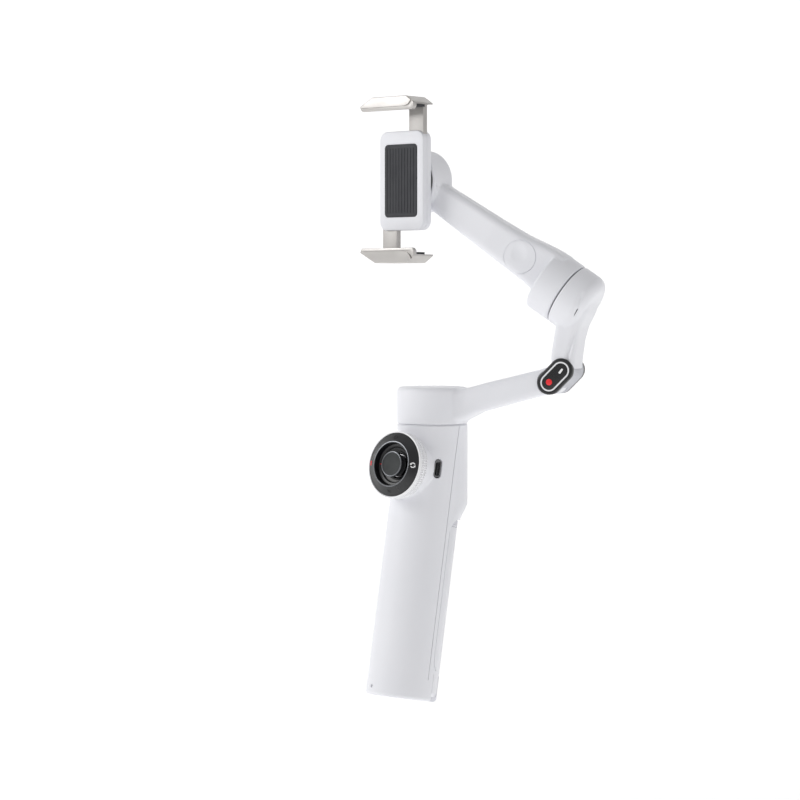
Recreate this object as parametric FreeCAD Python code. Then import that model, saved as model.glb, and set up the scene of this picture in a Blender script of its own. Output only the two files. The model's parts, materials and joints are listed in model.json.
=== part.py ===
import FreeCAD, Part
import math
import os

V = FreeCAD.Vector
os.makedirs("parts", exist_ok=True)

lean = 10.95
gripRadius = 18.5
gripWall = 1.8
splitAngle = 84.0
splitGap = 0.5
panY = 25.7
panZ = 154.7
panRadius = 18.7
canLow = -12.35
canTop = 7.1
gripTop = panZ + canLow - 0.6
bendHeight = 132.7
armTurn = 20.0
poleY = 5.0
poleTravelBottom = 14.0
panelHeight = 119.0
panelFace = -28.6
panelRise = 2.5
panelThick = 1.4
stickTop = -30.9
panelRadius = 16.5
wheelRadius = 17.5
legInner = 14.3
legOuter = 18.4
legLow = 14.4
legHigh = 95.5
hingeReach = 14.6
hingeHeight = 4.5
elbowLow = (67.25, 10.25)
elbowHigh = (73.55, 16.55)
elbowRadius = 6.25
motorSeat = (73.7, 55.7)
motorTurn = -56.0
motorRadius = 16.75
rollX = -13.1
rollZ = 115.2
rollRadius = 16.5


def box(x0, x1, y0, y1, z0, z1):
    return Part.makeBox(x1 - x0, y1 - y0, z1 - z0, V(x0, y0, z0))


def rod(start, direction, radius, length):
    return Part.makeCylinder(radius, length, V(*start), V(*direction))


def tube(start, direction, outer, inner, length):
    return rod(start, direction, outer, length).cut(rod(start, direction, inner, length))


def cone(start, direction, radiusStart, radiusEnd, length):
    return Part.makeCone(radiusStart, radiusEnd, length, V(*start), V(*direction))


def outline(points):
    return Part.makePolygon([V(*p) for p in points] + [V(*points[0])])


def prism(points, w0, w1):
    face = Part.Face(outline([(p, w0, z) for p, z in points]))
    return face.extrude(V(0, w1 - w0, 0))


def pill(low, high, radius, w0, w1):
    dx = high[0] - low[0]
    dz = high[1] - low[1]
    length = math.hypot(dx, dz)
    nx = -dz / length * radius
    nz = dx / length * radius
    corners = [
        (low[0] + nx, low[1] + nz),
        (high[0] + nx, high[1] + nz),
        (high[0] - nx, high[1] - nz),
        (low[0] - nx, low[1] - nz),
    ]
    ends = [rod((c[0], w0, c[1]), (0, 1, 0), radius, w1 - w0) for c in (low, high)]
    return prism(corners, w0, w1).fuse(ends).removeSplitter()


def sector(inner, outer, z0, z1, fromAngle, toAngle):
    solid = Part.makeCylinder(outer, z1 - z0, V(0, 0, z0), V(0, 0, 1), toAngle - fromAngle)
    if inner > 0:
        solid = solid.cut(rod((0, 0, z0 - 1), (0, 0, 1), inner, z1 - z0 + 2))
    solid.rotate(V(0, 0, 0), V(0, 0, 1), fromAngle - 90)
    return solid


def fromLevel(shape):
    moved = shape.copy()
    moved.rotate(V(0, 0, 0), V(1, 0, 0), lean)
    return moved


def toGrip(shape):
    moved = shape.copy()
    moved.rotate(V(0, 0, 0), V(1, 0, 0), -lean)
    return moved


def toArm(shape):
    moved = shape.copy()
    moved.rotate(V(0, 0, 0), V(0, 0, 1), armTurn)
    moved.translate(V(0, panY, panZ))
    return moved


def inArm(shape):
    moved = shape.copy()
    moved.rotate(V(0, 0, 0), V(0, 1, 0), motorTurn)
    moved.translate(V(motorSeat[0], 0, motorSeat[1]))
    return moved


def toMotor(shape):
    return toArm(inArm(shape))


def toClamp(shape):
    moved = shape.copy()
    moved.translate(V(0, panY, panZ))
    return moved


def mirrored(shape):
    return shape.mirror(V(0, 0, 0), V(1, 0, 0))


def turned(shape, azimuth):
    moved = shape.copy()
    moved.rotate(V(0, 0, 0), V(0, 0, 1), azimuth)
    return moved


def save(name, shape):
    shape.exportStep("parts/" + name + ".step")


# grip, in the frame of the grip: Z up the grip, -Y toward the thumb
topBlock = fromLevel(box(-60, 60, -60, 120, gripTop, gripTop + 80))
lidBlock = fromLevel(box(-60, 60, -60, 120, gripTop - 2.0, gripTop + 80))
bendBlock = fromLevel(box(-60, 60, -60, 120, bendHeight, bendHeight + 90))
humpSteps = [(gripTop + 1.0, 25.7), (100.0, 25.7), (97.0, 23.4), (93.5, 20.4), (88.0, 17.1)]
humpWires = [Part.Wire(Part.makeCircle(18.6, V(0, y, z), V(0, 0, 1))) for z, y in humpSteps]
hump = fromLevel(Part.makeLoft(humpWires, True, True))
gripOuter = rod((0, 0, 0), (0, 0, 1), gripRadius, 150).cut(bendBlock).fuse(hump).cut(topBlock)
humpCavity = fromLevel(rod((0, panY, 103), (0, 0, 1), panRadius - gripWall, 60))
gripInside = rod((0, 0, 0), (0, 0, 1), gripRadius - gripWall, 150).cut(bendBlock).fuse(humpCavity)
gripCavity = gripInside.cut(rod((0, 0, -1), (0, 0, 1), 30, 99))
poleHole = rod((0, poleY, 100), (0, 0, 1), 6.9, 60)
neckHole = rod((0, -40, panelHeight), (0, 1, 0), 12.2, 34)

# hinge pockets for the folding legs
sideSwing = 97.0
sideSlot = turned(box(-7.5, 0.2, 12.0, 22.0, -1, 14.2), sideSwing - 180)
middleSlot = box(-3.9, 3.9, 12.0, 22.0, -1, 14.2)
sidePin = turned(rod((-9.4, hingeReach, hingeHeight), (1, 0, 0), 1.1, 11.8), sideSwing - 180)
middlePin = rod((-6.5, hingeReach, hingeHeight), (1, 0, 0), 1.1, 13.0)
pins = [sidePin, middlePin, mirrored(sidePin)]
slots = [sideSlot, middleSlot, mirrored(sideSlot)]

base = rod((0, 0, 0), (0, 0, 1), gripRadius, 11.0)
base = base.makeFillet(1.8, [e for e in base.Edges if e.BoundBox.ZMax < 0.01])
base = base.cut(slots + pins + [rod((0, 0, -1), (0, 0, 1), 4.6, 11.0)])
base = base.cut(rod((0, poleY, 10.0), (0, 0, 1), 6.8, 5.0))
save("base_cup", toGrip(base))
insert = tube((0, 0, 0), (0, 0, 1), 4.6, 2.6, 10.0)
save("thread_insert", toGrip(insert))
save("leg_pins", toGrip(Part.makeCompound(pins)))

front = gripOuter.common(sector(0, 60, 11, 160, -splitAngle + splitGap, splitAngle - splitGap))
front = front.cut(gripInside.cut(lidBlock))
portHeight = 120.0
portPill = pill((0, -2.85), (0, 2.85), 1.65, -19, -11.0)
portPill.translate(V(0, 0, portHeight))
portHole = pill((0, -3.05), (0, 3.05), 1.95, -19, -11.0)
portHole.translate(V(0, 0, portHeight))
portAngle = 54.3
buttonAngle = -62.0
buttonHole = turned(rod((0, -22, 108), (0, 1, 0), 3.3, 12), buttonAngle)
front = front.cut([neckHole, poleHole, turned(portHole, portAngle), buttonHole])
save("grip_front", toGrip(front))

recess = sector(14.0, 40, 13.6, 96.2, 92, 268)
backCavity = rod((0, 0, 10), (0, 0, 1), 12.4, 92).fuse(gripCavity.cut(lidBlock))
back = gripOuter.common(sector(0, 60, 11, 160, splitAngle + splitGap, 360 - splitAngle - splitGap))
triggerHole = fromLevel(box(-6.4, 6.4, 36, 50, 103.4, 124.6))
triggerPin = fromLevel(rod((-7.4, 40.2, 122.0), (1, 0, 0), 1.0, 14.8))
back = back.cut([recess, backCavity, poleHole, triggerHole, triggerPin] + slots)
save("grip_back", toGrip(back))

save("trigger_pin", toGrip(triggerPin))
trigger = box(-6.0, 6.0, 38.6, 50, 104.0, 124.0).common(rod((0, panY, 90), (0, 0, 1), 19.4, 50))
trigger = trigger.cut(box(-4.4, 4.4, 38.0, 42.2, 106.0, 119.0))
trigger = trigger.cut(rod((-7, 40.2, 122.0), (1, 0, 0), 1.06, 14))
save("trigger", trigger)

button = turned(rod((0, -19.1, 108), (0, 1, 0), 3.0, 4.6), buttonAngle)
save("side_button", toGrip(button))
socketMouth = box(-0.5, 0.5, -20, -13.0, portHeight - 3.2, portHeight + 3.2)
socket = turned(portPill.cut(socketMouth), portAngle)
socket = socket.common(rod((0, 0, 100), (0, 0, 1), 17.7, 40))
save("usb_socket", toGrip(socket))

cells = [rod((x, -6.6, 18), (0, 0, 1), 6.5, 62) for x in (-6.7, 6.7)]
save("battery_cells", toGrip(Part.makeCompound(cells)))
board = box(-8.5, 8.5, -6.4, -4.8, 84, 127)
chips = [box(-5, 3, -7.6, -6.4, 90, 98), box(-4, 4, -7.4, -6.4, 102, 108)]
save("main_board", toGrip(board.fuse(chips)))

# telescopic pole, parallel to the grip
sleeve = tube((0, poleY, 12), (0, 0, 1), 6.8, 6.1, 131.8)
save("pole_sleeve", toGrip(sleeve))
poleTopHeight = 148.2
stageRadii = [(6.0, 5.3), (5.2, 4.5), (4.4, 3.5)]
for index, (outer, inner) in enumerate(stageRadii):
    top = 143.4 + 0.3 * index
    bottom = poleTravelBottom + index
    if index == 2:
        top = poleTopHeight
    stage = tube((0, poleY, bottom), (0, 0, 1), outer, inner, top - bottom)
    save("pole_stage_%d" % (index + 1), toGrip(stage))

# control panel on the thumb side
face = panelFace
neck = cone((0, -22.2, panelHeight), (0, 1, 0), 15.6, 13.4, 16)
neck = neck.cut([gripOuter, topBlock])
neck = neck.cut(rod((0, -23, panelHeight), (0, 1, 0), 12.2, 30))
save("panel_neck", toGrip(neck))
wheel = tube((0, -27.1, panelHeight), (0, 1, 0), wheelRadius, 13.1, 4.6)
wheel = wheel.fuse(tube((0, -28.5, panelHeight), (0, 1, 0), wheelRadius, 16.8, 1.4))
save("zoom_wheel", toGrip(wheel.removeSplitter()))
disc = rod((0, face, panelHeight), (0, 1, 0), panelRadius, panelThick)
disc = disc.fuse(cone((0, face, panelHeight), (0, -1, 0), panelRadius, 12.0, panelRise))
disc = disc.fuse(rod((0, face + panelThick, panelHeight), (0, 1, 0), 13.03, 5.0))
disc = disc.fuse(rod((0, face + panelThick + 5.0, panelHeight), (0, 1, 0), 12.2, 4.0)).removeSplitter()
disc = disc.cut(cone((0, face - panelRise, panelHeight), (0, 1, 0), 11.3, 10.6, panelRise + 2.2))
disc = disc.cut(rod((0, face, panelHeight), (0, 1, 0), 6.9, 20))
disc = disc.cut(rod((-9.2, -23, panelHeight), (1, 0, 0), 0.86, 18.4))
save("panel_disc", toGrip(disc))
stickRing = tube((0, -24.2, panelHeight), (0, 1, 0), 6.0, 4.4, 2.4)
stickRing = stickRing.fuse([rod((s, -23, panelHeight), (1, 0, 0), 0.8, 3.4) for s in (-9.0, 5.6)])
stickRing = stickRing.cut(rod((0, -23, panelHeight - 7), (0, 0, 1), 0.76, 14))
save("joystick_ring", toGrip(stickRing))
stick = rod((0, stickTop, panelHeight), (0, 1, 0), 6.7, 2.2)
stick = stick.makeFillet(0.6, stick.Edges[0:1])
stick = stick.fuse(rod((0, stickTop + 2.2, panelHeight), (0, 1, 0), 2.4, 7.1))
stick = stick.fuse(rod((0, -23, panelHeight - 5.6), (0, 0, 1), 0.7, 11.2)).removeSplitter()
save("joystick_cap", toGrip(stick))

# folding legs along the back of the grip
legRing = sector(legInner, legOuter, legLow, legHigh, 93.4, 146.4)
tongueLimit = sector(0, legOuter, 0, 30, 60, 300)


def makeLeg(ring, x0, x1, azimuth):
    tongue = box(x0, x1, legInner, 20, hingeHeight, 16)
    knuckle = rod((x0, hingeReach, hingeHeight), (1, 0, 0), 2.2, x1 - x0)
    knuckle = knuckle.fuse(tongue)
    knuckle = turned(knuckle, azimuth - 180).common(tongueLimit)
    bore = turned(rod((x0 - 1, hingeReach, hingeHeight), (1, 0, 0), 1.16, x1 - x0 + 2), azimuth - 180)
    return ring.fuse(knuckle).cut(bore).removeSplitter()


footCut = rod((0, 0, legHigh - 4.0), (0, 0, 1), 40, 10)
sideLeg = makeLeg(legRing, -7.1, -0.2, sideSwing)
middleLeg = makeLeg(sector(legInner, legOuter, legLow, legHigh, 149.6, 210.4), -3.5, 3.5, 180)
save("leg_right", toGrip(sideLeg.cut(footCut)))
save("leg_left", toGrip(mirrored(sideLeg.cut(footCut))))
save("leg_center", toGrip(middleLeg.cut(footCut)))
save("foot_right", toGrip(sideLeg.common(footCut)))
save("foot_left", toGrip(mirrored(sideLeg.common(footCut))))
save("foot_center", toGrip(middleLeg.common(footCut)))


# motors, each in a frame whose Z is the axis of the motor
def stator(z0, length, postLow, postHigh):
    post = tube((0, 0, postLow), (0, 0, 1), 5.0, 4.2, postHigh - postLow)
    return post.fuse(tube((0, 0, z0), (0, 0, 1), 11.5, 5.0, length)).removeSplitter()


def bearings(heights):
    rings = [tube((0, 0, z), (0, 0, 1), 4.2, 2.0, 2.5) for z in heights]
    return Part.makeCompound(rings)


def rotor(z0, z1, plateTop, shaftLow):
    ring = tube((0, 0, z0), (0, 0, 1), 14.6, 12.1, z1 - z0)
    plate = rod((0, 0, z1), (0, 0, 1), 14.6, plateTop - z1)
    shaft = rod((0, 0, shaftLow), (0, 0, 1), 1.96, plateTop - shaftLow)
    return ring.fuse([plate, shaft]).removeSplitter()


carrierLow = canLow - 0.55
carrier = rod((0, 0, carrierLow), (0, 0, 1), 18.0, 0.5).fuse(rod((0, 0, carrierLow), (0, 0, 1), 15.6, 3.6))
poleTop = rod((0, poleY, 130), (0, 0, 1), 4.4, poleTopHeight - 130)
poleTop = toGrip(poleTop)
poleTop.translate(V(0, -panY, -panZ))
carrier = toClamp(carrier.removeSplitter().cut(poleTop))
save("pan_carrier", carrier)
save("pan_stator", toClamp(stator(-7.3, 7.0, -9.3, 1.0)))
save("pan_bearings", toClamp(bearings((-8.3, -1.8))))
save("pan_rotor", toArm(rotor(-8.4, 1.6, 3.4, -9.1)))

# lower arm with the pan housing
barTop = [(28.9, 9.4), (17.0, 6.3), (4.0, 6.3)]
barLow = [(4.0, -12.0), (19.0, -10.4), (28.9, -6.0)]
bar = prism(barLow + [(63.3, 3.7), (64.6, 8.0), (64.6, 17.8)] + barTop, -9.3, 9.3)
bar = bar.makeFillet(3.0, [e for e in bar.Edges if abs(e.BoundBox.YMax - e.BoundBox.YMin) < 0.01
                           and e.BoundBox.XMax > 20 and e.BoundBox.XMax - e.BoundBox.XMin > 5])
barHollow = prism([(15, -8.5), (28.9, -3.8), (56, 4.0), (56, 13.4), (28.9, 7.0), (15, 3.4)], -7.2, 7.2)
can = rod((0, 0, canLow), (0, 0, 1), panRadius, canTop - canLow)
can = can.makeFillet(2.0, [e for e in can.Edges if e.BoundBox.ZMin > canTop - 0.1])
lowerArm = can.fuse(bar)
lowerArm = lowerArm.cut([
    rod((0, 0, -30), (0, 0, 1), 16.2, 33.4),
    rod((0, 0, canTop - 2.0), (0, 0, 1), 16.0, 10.0),
    barHollow,
    rod((elbowLow[0], -15, elbowLow[1]), (0, 1, 0), 6.8, 30),
])
eye = box(55.0, elbowLow[0], -5.0, 5.0, 7.2, 13.3)
eye = eye.fuse(rod((elbowLow[0], -5.0, elbowLow[1]), (0, 1, 0), 5.9, 10.0))
lowerArm = lowerArm.fuse(eye).cut(rod((elbowLow[0], -15, elbowLow[1]), (0, 1, 0), 2.06, 30))
save("lower_arm", toArm(lowerArm.removeSplitter()))
save("pan_cover", toArm(rod((0, 0, canTop - 2.0), (0, 0, 1), 16.0, 2.0)))

# elbow
pin = rod((elbowLow[0], -9.0, elbowLow[1]), (0, 1, 0), 2.0, 18.0)
save("elbow_pin", toArm(pin))
barrel = pill(elbowLow, elbowHigh, elbowRadius, -9.6, 9.6)
barrel = barrel.cut([rod((elbowLow[0], -5.1, elbowLow[1]), (0, 1, 0), 6.45, 10.2), pin])
save("elbow_barrel", toArm(barrel))
save("elbow_cap", toArm(pill(elbowLow, elbowHigh, elbowRadius, -10.9, -9.6)))
save("elbow_band", toArm(pill(elbowLow, elbowHigh, elbowRadius, 9.6, 13.0)))

# upper arm with the housing of the tilt motor
upperOutline = [(68.3, 20.2), (73.55, 16.55), (79.8, 16.55), (82.2, 38.9),
                (86.0, 50.0), (72.0, 48.0), (69.9, 38.9)]
upper = prism(upperOutline, -10.0, 10.0)
upperHollow = prism([(71.2, 25.0), (77.6, 25.0), (80.0, 40.0), (73.0, 40.0)], -8.0, 8.0)
housing = rod((0, 0, -15.0), (0, 0, 1), motorRadius, 14.7)
housing = housing.makeFillet(5.0, [e for e in housing.Edges if e.BoundBox.ZMax < -14.9])
upper = upper.fuse(inArm(housing))
upper = upper.cut([
    pill(elbowLow, elbowHigh, elbowRadius, -10, 10),
    upperHollow,
    inArm(rod((0, 0, -12.8), (0, 0, 1), 14.9, 20)),
    inArm(rod((0, 0, -0.3), (0, 0, 1), 30, 30)),
])
save("upper_arm", toArm(upper.removeSplitter()))
save("tilt_stator", toMotor(stator(-6.0, 9.0, -12.8, 4.4)))
save("tilt_bearings", toMotor(bearings((-11.5, 1.4))))
save("tilt_rotor", toMotor(rotor(-7.0, 4.6, 6.0, -12.4)))

# third arm with the roll motor housing behind the clamp
tiltCan = rod((0, 0, 0.3), (0, 0, 1), motorRadius, 13.7)
neckBar = prism([(-6.5, 10.0), (-6.5, 30.0), (14.0, 30.0), (16.4, 14.4), (16.0, 10.0)], -9.0, 9.0)
nearWire = outline([(-6.4, -9.0, 30.0), (14.0, -9.0, 30.0), (14.0, 9.0, 30.0), (-6.4, 9.0, 30.0)])
farWire = outline([(-6.0, 2.6, 98.0), (9.0, 2.6, 98.0), (9.0, 15.0, 98.0), (-6.0, 15.0, 98.0)])
reach = Part.makeLoft([nearWire, farWire], True, True)
nearHollow = outline([(-4.0, -6.8, 12.0), (12.0, -6.8, 12.0), (12.0, 6.8, 12.0), (-4.0, 6.8, 12.0)])
farHollow = outline([(-4.0, 5.0, 90.0), (7.0, 5.0, 90.0), (7.0, 13.0, 90.0), (-4.0, 13.0, 90.0)])
rollCan = rod((rollX, -2.2, rollZ), (0, 1, 0), rollRadius, 16.0)
rollCan = rollCan.makeFillet(2.0, [e for e in rollCan.Edges if e.BoundBox.YMin > 13.7])
thirdArm = toMotor(tiltCan.fuse([neckBar, reach]))
thirdArm = thirdArm.fuse(toClamp(rollCan))
thirdArm = thirdArm.cut([
    toMotor(rod((0, 0, -5), (0, 0, 1), 14.9, 11.0)),
    toMotor(rod((0, 0, 8.0), (0, 0, 1), 14.6, 3.6)),
    toMotor(tube((0, 0, 12.8), (0, 0, 1), 14.6, 13.0, 0.4)),
    toMotor(Part.makeLoft([nearHollow, farHollow], True, True)),
    toClamp(rod((rollX, -8.0, rollZ), (0, 1, 0), 14.9, 20.0)),
])
save("third_arm", thirdArm.removeSplitter())


def toRoll(shape):
    moved = shape.copy()
    moved.rotate(V(0, 0, 0), V(1, 0, 0), 90)
    moved.translate(V(rollX, 0, rollZ))
    return toClamp(moved)


save("roll_stator", toRoll(stator(-9.4, 8.6, -12.0, -0.6)))
save("roll_bearings", toRoll(bearings((-11.6, -3.4))))
save("roll_rotor", toRoll(rotor(-9.0, 1.2, 2.7, -11.8)))

# clamp
bodyWide = 15.0
body = box(rollX - bodyWide, rollX + bodyWide, -10.2, -2.7, rollZ - 26, rollZ + 26)
body = body.makeFillet(4.0, [e for e in body.Edges if e.BoundBox.YMax - e.BoundBox.YMin > 5])
slideSlots = [
    box(rollX + 4.0, rollX + 14.1, -8.7, -5.3, rollZ - 24, rollZ + 30),
    box(rollX - 14.1, rollX - 4.0, -8.7, -5.3, rollZ - 30, rollZ + 24),
]
pinionHole = rod((rollX, -8.7, rollZ), (0, 1, 0), 4.3, 3.4)
axleHole = rod((rollX, -9.6, rollZ), (0, 1, 0), 1.26, 6.0)
padHole = box(rollX - 11, rollX + 11, -10.3, -9.8, rollZ - 19, rollZ + 19)
screwSpots = [(rollX + sx * 11.5, rollZ + sz * 22.4) for sx in (-1, 1) for sz in (-1, 1)]
screws = [rod((x, -4.7, z), (0, 1, 0), 1.9, 1.9) for x, z in screwSpots]
recesses = [rod((x, -3.7, z), (0, 1, 0), 0.8, 2.0) for x, z in screwSpots]
screwHoles = [rod((x, -4.7, z), (0, 1, 0), 1.9, 4.0) for x, z in screwSpots]
body = body.cut(slideSlots + [pinionHole, axleHole, padHole] + screwHoles)
save("clamp_screws", toClamp(Part.makeCompound([s.cut(r) for s, r in zip(screws, recesses)])))
save("clamp_body", toClamp(body))
save("back_pad", toClamp(box(rollX - 11, rollX + 11, -10.6, -9.8, rollZ - 19, rollZ + 19)))
pinion = rod((rollX, -8.6, rollZ), (0, 1, 0), 3.9, 3.2).fuse(rod((rollX, -9.5, rollZ), (0, 1, 0), 1.2, 5.8))
save("clamp_pinion", toClamp(pinion.removeSplitter()))

jawWide = 18.65
jawX = rollX - 0.55


def makeJaw(side, rackX0, rackX1, seat, outer, lip):
    low, high = sorted((seat, outer))
    hook = box(jawX - jawWide, jawX + jawWide, -21.2, -5.4, low, high)
    lipLow, lipHigh = sorted((lip, outer))
    hook = hook.fuse(box(jawX - jawWide, jawX + jawWide, -21.2, -19.0, lipLow, lipHigh))
    corner = []
    for sign in (-1, 1):
        x = jawX + sign * jawWide
        inward = jawX + sign * (jawWide - 7.5)
        points = [(x, outer - side * 5.4), (x + sign, outer - side * 5.4),
                  (x + sign, outer + side), (inward, outer + side), (inward, outer)]
        corner.append(prism(points, -30, 0))
    hook = hook.cut(corner)
    rackLow, rackHigh = sorted((seat + side * 0.5, rollZ - side * 14.2))
    rack = box(rackX0, rackX1, -8.6, -5.4, rackLow, rackHigh)
    return hook.fuse(rack).removeSplitter()


upperJaw = makeJaw(1, rollX + 4.1, rollX + 14.0, 154.4, 160.0, 150.6)
lowerJaw = makeJaw(-1, rollX - 14.0, rollX - 4.1, 76.4, 71.9, 79.8)
save("upper_jaw", toClamp(upperJaw))
save("lower_jaw", toClamp(lowerJaw))
save("upper_pad", toClamp(box(jawX - 16, jawX + 16, -18.8, -9.2, 153.2, 154.4)))
save("lower_pad", toClamp(box(jawX - 16, jawX + 16, -18.8, -9.2, 76.4, 77.6)))
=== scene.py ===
import bpy
import bmesh
import json
import math
from mathutils import Matrix, Vector


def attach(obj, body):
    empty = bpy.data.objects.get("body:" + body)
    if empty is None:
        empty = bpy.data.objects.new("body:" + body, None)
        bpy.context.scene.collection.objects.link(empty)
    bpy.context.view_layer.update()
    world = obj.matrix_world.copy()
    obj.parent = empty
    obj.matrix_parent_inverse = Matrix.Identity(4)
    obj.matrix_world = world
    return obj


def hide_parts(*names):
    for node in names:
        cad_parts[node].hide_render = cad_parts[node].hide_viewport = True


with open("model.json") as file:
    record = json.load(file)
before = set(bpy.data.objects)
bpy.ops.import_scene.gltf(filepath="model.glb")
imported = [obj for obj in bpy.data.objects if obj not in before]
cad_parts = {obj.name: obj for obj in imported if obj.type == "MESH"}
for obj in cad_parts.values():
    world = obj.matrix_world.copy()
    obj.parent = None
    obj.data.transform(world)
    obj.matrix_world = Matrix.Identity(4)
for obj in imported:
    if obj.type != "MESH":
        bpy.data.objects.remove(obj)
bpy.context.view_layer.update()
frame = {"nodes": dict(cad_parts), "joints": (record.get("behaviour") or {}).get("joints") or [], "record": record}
nodes = frame["nodes"]
joints = {j["name"]: j for j in frame["joints"]}
mm = 0.001
fine, finest = 128, 160  # points round the larger circles


# places, read from the joints of the frame

def moved(x, y, z):
    return Matrix.Translation((x * mm, y * mm, z * mm))


def rotated(degrees, axis):
    return Matrix.Rotation(math.radians(degrees), 4, axis)


def frameOf(origin, alongZ, hintX):
    z = Vector(alongZ).normalized()
    y = z.cross(Vector(hintX)).normalized()
    x = y.cross(z)
    m = Matrix((x, y, z)).transposed().to_4x4()
    m.translation = Vector(origin)
    return m


panPoint = Vector(joints["pan"]["pos_m"])
elbowPoint = Vector(joints["elbow_fold"]["pos_m"])
across = Vector(joints["elbow_fold"]["axis"])
tiltPoint = Vector(joints["tilt"]["pos_m"])
rollPoint = Vector(joints["roll"]["pos_m"])
gripUp = Vector(joints["pole_slide_lower"]["axis"])
elbowPin = (67.25, 10.25)  # reach along the arm and height over the datum
barrelSpot = (70.4, 13.4)
panelHeight = 119.0
legPin = (14.6, 4.5)  # out from the grip's axis, up from its foot
motorBore = 14.9
datumZ = elbowPoint.z - elbowPin[1] * mm
gripFrame = frameOf((0, 0, 0), gripUp, (1, 0, 0))
panFrame = Matrix.Translation((panPoint.x, panPoint.y, datumZ))
armFrame = frameOf(panFrame.translation, (0, 0, 1), across.cross(Vector((0, 0, 1))))
motorFrame = frameOf(tiltPoint, joints["tilt"]["axis"], across.cross(Vector(joints["tilt"]["axis"])))
clampFrame = Matrix.Translation((rollPoint.x, panPoint.y, rollPoint.z))
panelFrame = gripFrame @ moved(0, 0, panelHeight) @ rotated(90, "X")
polePlace = gripFrame @ moved(0, 5, 0)
panAxis = Matrix.Translation((0, panPoint.y, 0))


# small helpers

def clearSelection():
    if bpy.context.mode != "OBJECT":
        bpy.ops.object.mode_set(mode="OBJECT")
    bpy.ops.object.select_all(action="DESELECT")


def focus(piece):
    clearSelection()
    piece.select_set(True)
    bpy.context.view_layer.objects.active = piece


def newest(name):
    piece = bpy.context.active_object
    piece.name = name
    piece.data.name = name
    return piece


def circleRing(radius, z, count=96, x=0.0, y=0.0):
    turn = [2 * math.pi * i / count for i in range(count)]
    return [(x + radius * math.cos(a), y + radius * math.sin(a), z) for a in turn]


def roundedRing(width, depth, radius, z, x=0.0, y=0.0, steps=6):
    # one corner radius, or four from the upper right corner, turning left
    radii = radius if isinstance(radius, tuple) else (radius,) * 4
    ring = []
    for index, (sx, sy) in enumerate(((1, 1), (-1, 1), (-1, -1), (1, -1))):
        r = radii[index]
        cx, cy = sx * (width / 2 - r), sy * (depth / 2 - r)
        for step in range(steps + 1):
            a = math.pi / 2 * (index + step / steps)
            ring.append((x + cx + r * math.cos(a), y + cy + r * math.sin(a), z))
    return ring


def pillRing(length, radius, z, steps=16):
    ring = []
    for side in (1, -1):
        for step in range(steps + 1):
            a = -math.pi / 2 + math.pi * step / steps
            ring.append((side * (length / 2 - radius + radius * math.cos(a)), side * radius * math.sin(a), z))
    return ring


def loft(name, rings, place=None):
    clearSelection()
    count = len(rings[0])
    bpy.ops.mesh.primitive_circle_add(vertices=count, radius=1.0, fill_type="NGON")
    piece = newest(name)
    for vertex, spot in zip(piece.data.vertices, rings[0]):
        vertex.co = Vector(spot) * mm
    bpy.ops.object.mode_set(mode="EDIT")
    bpy.ops.mesh.select_mode(type="VERT")
    bpy.ops.mesh.select_all(action="SELECT")
    current = [Vector(s) * mm for s in rings[0]]
    for ring in rings[1:]:
        bpy.ops.mesh.extrude_region_move()
        mesh = bmesh.from_edit_mesh(piece.data)
        spots = {tuple(round(c, 7) for c in spot): i for i, spot in enumerate(current)}
        target = [Vector(s) * mm for s in ring]
        for vertex in [v for v in mesh.verts if v.select]:
            vertex.co = target[spots[tuple(round(c, 7) for c in vertex.co)]]
        bmesh.update_edit_mesh(piece.data)
        current = target
    bpy.ops.mesh.select_all(action="SELECT")
    bpy.ops.mesh.normals_make_consistent(inside=False)
    bpy.ops.object.mode_set(mode="OBJECT")
    if place is not None:
        settle(piece, place)
    return piece


def settle(piece, place):
    focus(piece)
    piece.matrix_world = place
    bpy.ops.object.transform_apply(location=True, rotation=True, scale=True)
    return piece


def lathe(name, profile, place=None, count=96):
    return loft(name, [circleRing(r, z, count) for r, z in profile], place)


def finishWith(piece, kind, **settings):
    focus(piece)
    modifier = piece.modifiers.new(kind.title(), kind)
    for key, value in settings.items():
        setattr(modifier, key, value)
    bpy.ops.object.modifier_apply(modifier=modifier.name)
    return piece


def combine(piece, others, operation):
    for other in others:
        finishWith(piece, "BOOLEAN", operation=operation, object=other, solver="EXACT")
        bpy.data.objects.remove(other)
    return piece


def cut(piece, *others):
    return combine(piece, others, "DIFFERENCE")


def weld(piece, *others):
    return combine(piece, others, "UNION")


def softEdges(piece, width, segments=3, angle=40):
    return finishWith(piece, "BEVEL", width=width * mm, segments=segments, limit_method="ANGLE",
                      angle_limit=math.radians(angle), miter_outer="MITER_ARC")


def melt(piece, voxel, rounds):
    # an even skin, then a few rounds of smoothing: blends the joins as a moulding does
    finishWith(piece, "REMESH", mode="VOXEL", voxel_size=voxel * mm)
    return finishWith(piece, "SMOOTH", factor=0.5, iterations=rounds)


def smooth(piece, angle=35):
    focus(piece)
    bpy.ops.object.shade_smooth_by_angle(angle=math.radians(angle))
    return piece


def copyOf(piece, name):
    focus(piece)
    bpy.ops.object.duplicate()
    return newest(name)


def keepCommon(piece, *others):
    return combine(piece, others, "INTERSECT")


def block(name, x, y, z, place=None):
    corners = ((x[1], y[1]), (x[0], y[1]), (x[0], y[0]), (x[1], y[0]))
    return loft(name, [[(cx, cy, level) for cx, cy in corners] for level in z], place)


def ringCutter(name, inner, outer, z, place=None, count=fine):
    return cut(lathe(name, [(outer, z[0]), (outer, z[1])], place, count),
               lathe("core", [(inner, z[0] - 1), (inner, z[1] + 1)], place, count))


def sectorRing(radius, azimuths, z, steps=24):
    turn = [math.radians(azimuths[0] + (azimuths[1] - azimuths[0]) * i / steps) for i in range(steps + 1)]
    return [(0.0, 0.0, z)] + [(radius * math.sin(a), -radius * math.cos(a), z) for a in turn]


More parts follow.
